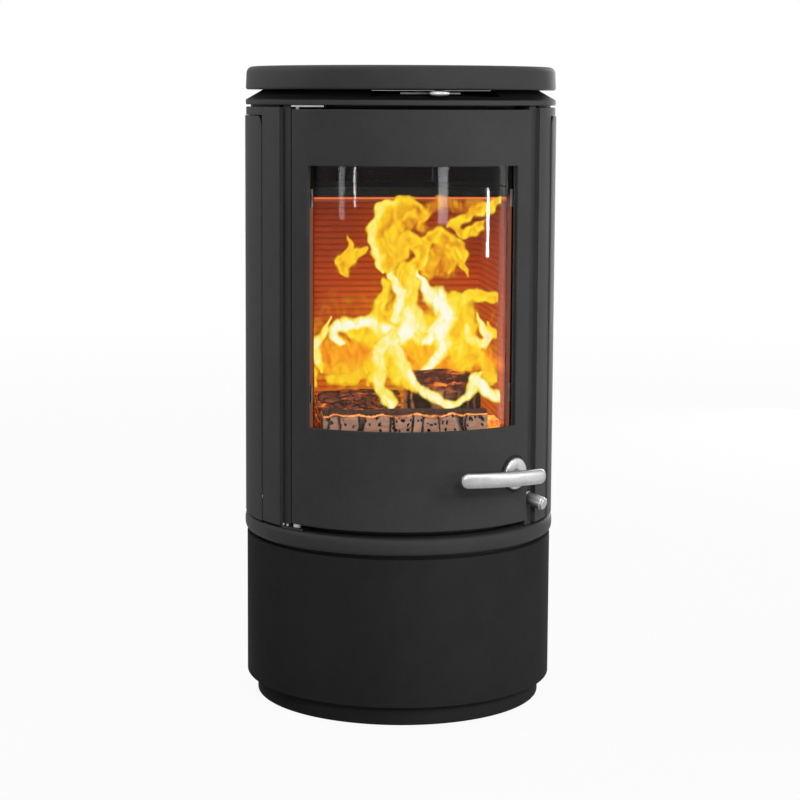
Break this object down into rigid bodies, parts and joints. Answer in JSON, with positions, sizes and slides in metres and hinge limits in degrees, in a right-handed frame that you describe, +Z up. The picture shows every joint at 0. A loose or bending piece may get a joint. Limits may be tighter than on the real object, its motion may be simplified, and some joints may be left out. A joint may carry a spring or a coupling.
{
  "type": "wood stove",
  "caption": "Round upright wood stove on a closed pedestal, with a curved glazed door, a bar handle, an air-wash lever, a primary-air pull, a rear flue collar and logs on a grate.",
  "frame": {"origin": "on the floor, under the middle of the round body", "axes": "+Z up, the door faces -Y, +X to the right as seen from the front"},
  "size_m": [0.4406, 0.5057, 0.893],
  "materials": {
    "black_paint": "satin black stove paint on sheet steel",
    "cast_black": "fine-grained cast surface in satin black stove paint",
    "deep_black": "matt black heat-resistant paint",
    "raw_steel": "plain steel, dulled by heat",
    "brushed_steel": "fine brushed stainless steel",
    "firebrick": "pressed mineral board, warm and matt",
    "soot_board": "mineral board under soot",
    "clear_glass": "clear ceramic glass",
    "rope_seal": "woven heat-proof rope",
    "split_wood": "dry split face with bark and cracks",
    "charred_wood": "charred, cracked and glowing in the gaps",
    "flame": "glowing flame"
  },
  "bodies": {
    "stove": {"plinth": "black_paint", "base_casing": "black_paint", "base_spacer": "deep_black", "deck_plate": "cast_black", "air_duct": "raw_steel", "air_spigot": "raw_steel", "firebox_shell": "deep_black", "ash_floor": "deep_black", "firebox_floor": "deep_black", "firebox_top": "deep_black", "flue_blank": "deep_black", "hearth_board": "firebrick", "back_board": "firebrick", "side_board_left": "firebrick", "side_board_right": "firebrick", "baffle_lower": "soot_board", "baffle_upper": "deep_black", "grate_frame": "cast_black", "grate": "cast_black", "ash_pan": "raw_steel", "front_frame": "deep_black", "latch_striker": "raw_steel", "pillar_left": "deep_black", "side_panel_left": "black_paint", "pillar_right": "deep_black", "side_panel_right": "black_paint", "rear_jacket": "black_paint", "rear_bracket": "raw_steel", "flue_collar": "deep_black", "upper_ring": "deep_black", "top_plate": "cast_black", "top_blanking_disc": "cast_black", "airwash_housing": "deep_black", "primary_air_bezel": "brushed_steel", "top_hinge_plate": "brushed_steel", "top_hinge_pin": "brushed_steel", "bottom_hinge_plate": "raw_steel", "bottom_hinge_pin": "brushed_steel", "hinge_screw_1": "brushed_steel", "hinge_screw_2": "brushed_steel", "log_front": "split_wood", "log_back_left": "charred_wood", "log_back_right": "charred_wood"},
    "door": {"door_panel": "cast_black", "door_glass": "clear_glass", "glass_seal": "rope_seal", "door_seal": "rope_seal", "glass_clip_lower_left": "raw_steel", "glass_clip_upper_left": "raw_steel", "glass_clip_lower_right": "raw_steel", "glass_clip_upper_right": "raw_steel"},
    "handle": {"handle_bar": "brushed_steel", "handle_boss": "brushed_steel", "handle_spindle": "brushed_steel", "latch_cam": "raw_steel", "spindle_collar": "raw_steel"},
    "airwash_lever": {"airwash_arm": "brushed_steel", "airwash_knob": "brushed_steel"},
    "air_pull": {"primary_air_knob": "brushed_steel", "primary_air_rod": "raw_steel"}
  },
  "joints": [
    {"name": "door_hinge", "type": "hinge", "parent": "stove", "child": "door", "pos_m": [-0.15335, -0.142, 0.5525], "axis": [0, 0, -1], "range_deg": [0, 110]},
    {"name": "handle_turn", "type": "hinge", "parent": "door", "child": "handle", "pos_m": [0.14158, -0.16577, 0.34], "axis": [-0.6494, 0.7604, 0], "range_deg": [0, 50]},
    {"name": "airwash_turn", "type": "hinge", "parent": "stove", "child": "airwash_lever", "pos_m": [0, 0, 0.856], "axis": [0, 0, 1], "range_deg": [-20, 20]},
    {"name": "air_pull_slide", "type": "slide", "parent": "stove", "child": "air_pull", "axis": [0.7647, -0.6039, -0.225], "range_m": [0, 0.02]}
  ]
}
